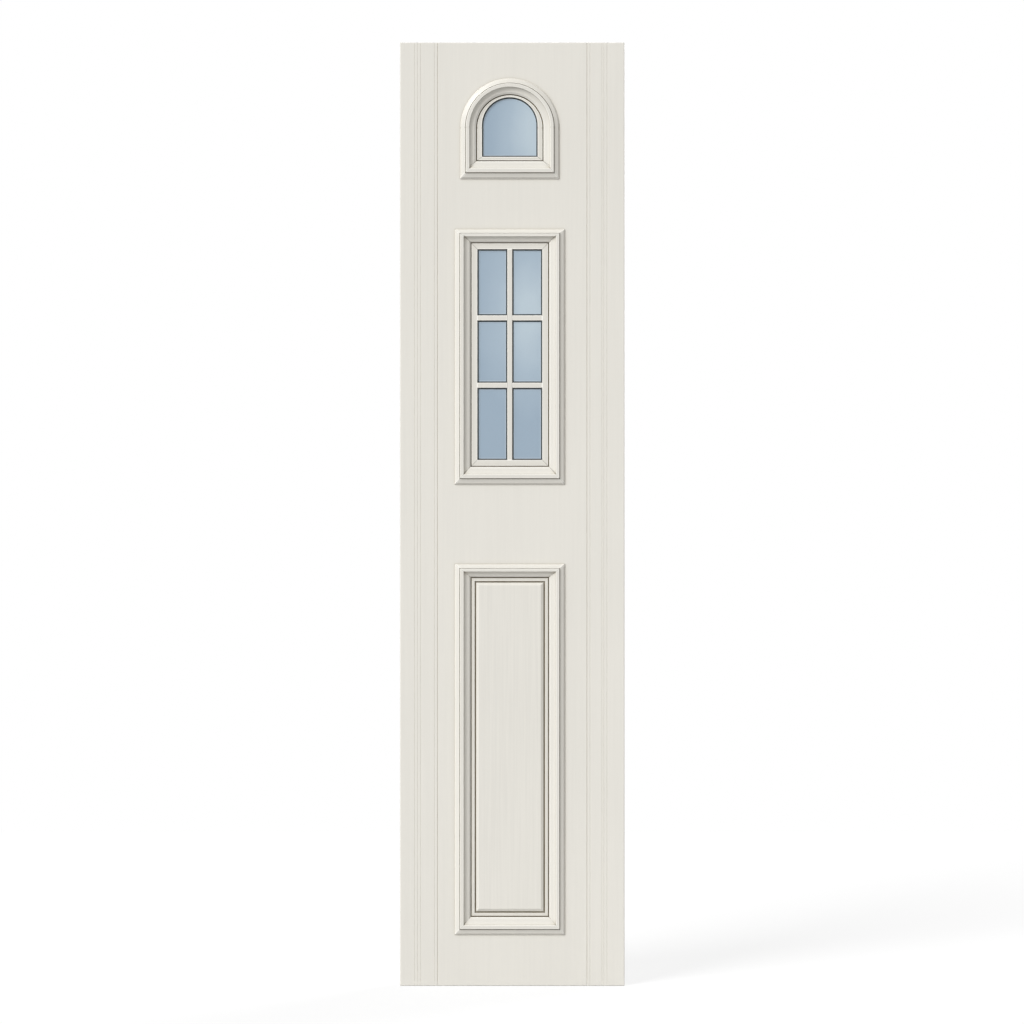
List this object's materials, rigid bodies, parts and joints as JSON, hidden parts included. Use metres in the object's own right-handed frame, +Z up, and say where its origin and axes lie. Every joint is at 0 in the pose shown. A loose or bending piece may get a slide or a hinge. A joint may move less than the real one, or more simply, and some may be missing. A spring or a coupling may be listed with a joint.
{
  "type": "narrow glazed and panelled door leaf",
  "caption": "Narrow side leaf of an unequal pair of doors: an arched light, a barred window and a raised panel, each framed by moulding, between reeded edge stiles.",
  "frame": {"origin": "foot of the hinge edge, on its flat face, half-way through the leaf's thickness", "axes": "+X across the leaf from the hinge edge to the meeting edge, +Z up, front face towards -Y"},
  "size_m": [0.5, 0.062, 2.1],
  "materials": {
    "lacquered_leaf": "satin",
    "lacquered_moulding": "satin",
    "bare_timber": "matte",
    "satin_glass": "satin",
    "spacer_bar": "satin"
  },
  "bodies": {
    "root": {"arch_back_bead": "lacquered_moulding", "arch_back_head_moulding": "lacquered_moulding", "arch_back_hinge_side_moulding": "lacquered_moulding", "arch_back_lock_side_moulding": "lacquered_moulding", "arch_back_pane": "satin_glass", "arch_back_sill_moulding": "lacquered_moulding", "arch_front_bead": "lacquered_moulding", "arch_front_head_moulding": "lacquered_moulding", "arch_front_hinge_side_moulding": "lacquered_moulding", "arch_front_lock_side_moulding": "lacquered_moulding", "arch_front_pane": "satin_glass", "arch_front_sill_moulding": "lacquered_moulding", "arch_spacer": "spacer_bar", "back_facing": "lacquered_leaf", "bottom_rail": "bare_timber", "front_facing": "lacquered_leaf", "hinge_side_inner_stile": "bare_timber", "hinge_stile": "lacquered_leaf", "lock_side_inner_stile": "bare_timber", "lock_stile": "lacquered_leaf", "middle_rail": "bare_timber", "panel_back_head_moulding": "lacquered_moulding", "panel_back_hinge_side_moulding": "lacquered_moulding", "panel_back_lock_side_moulding": "lacquered_moulding", "panel_back_sill_moulding": "lacquered_moulding", "panel_front_head_moulding": "lacquered_moulding", "panel_front_hinge_side_moulding": "lacquered_moulding", "panel_front_lock_side_moulding": "lacquered_moulding", "panel_front_sill_moulding": "lacquered_moulding", "raised_panel": "lacquered_leaf", "top_rail": "bare_timber", "upper_rail": "bare_timber", "window_back_bead": "lacquered_moulding", "window_back_head_moulding": "lacquered_moulding", "window_back_hinge_side_moulding": "lacquered_moulding", "window_back_lock_side_moulding": "lacquered_moulding", "window_back_pane": "satin_glass", "window_back_sill_moulding": "lacquered_moulding", "window_front_bead": "lacquered_moulding", "window_front_head_moulding": "lacquered_moulding", "window_front_hinge_side_moulding": "lacquered_moulding", "window_front_lock_side_moulding": "lacquered_moulding", "window_front_pane": "satin_glass", "window_front_sill_moulding": "lacquered_moulding", "window_spacer": "spacer_bar"}
  },
  "joints": []
}
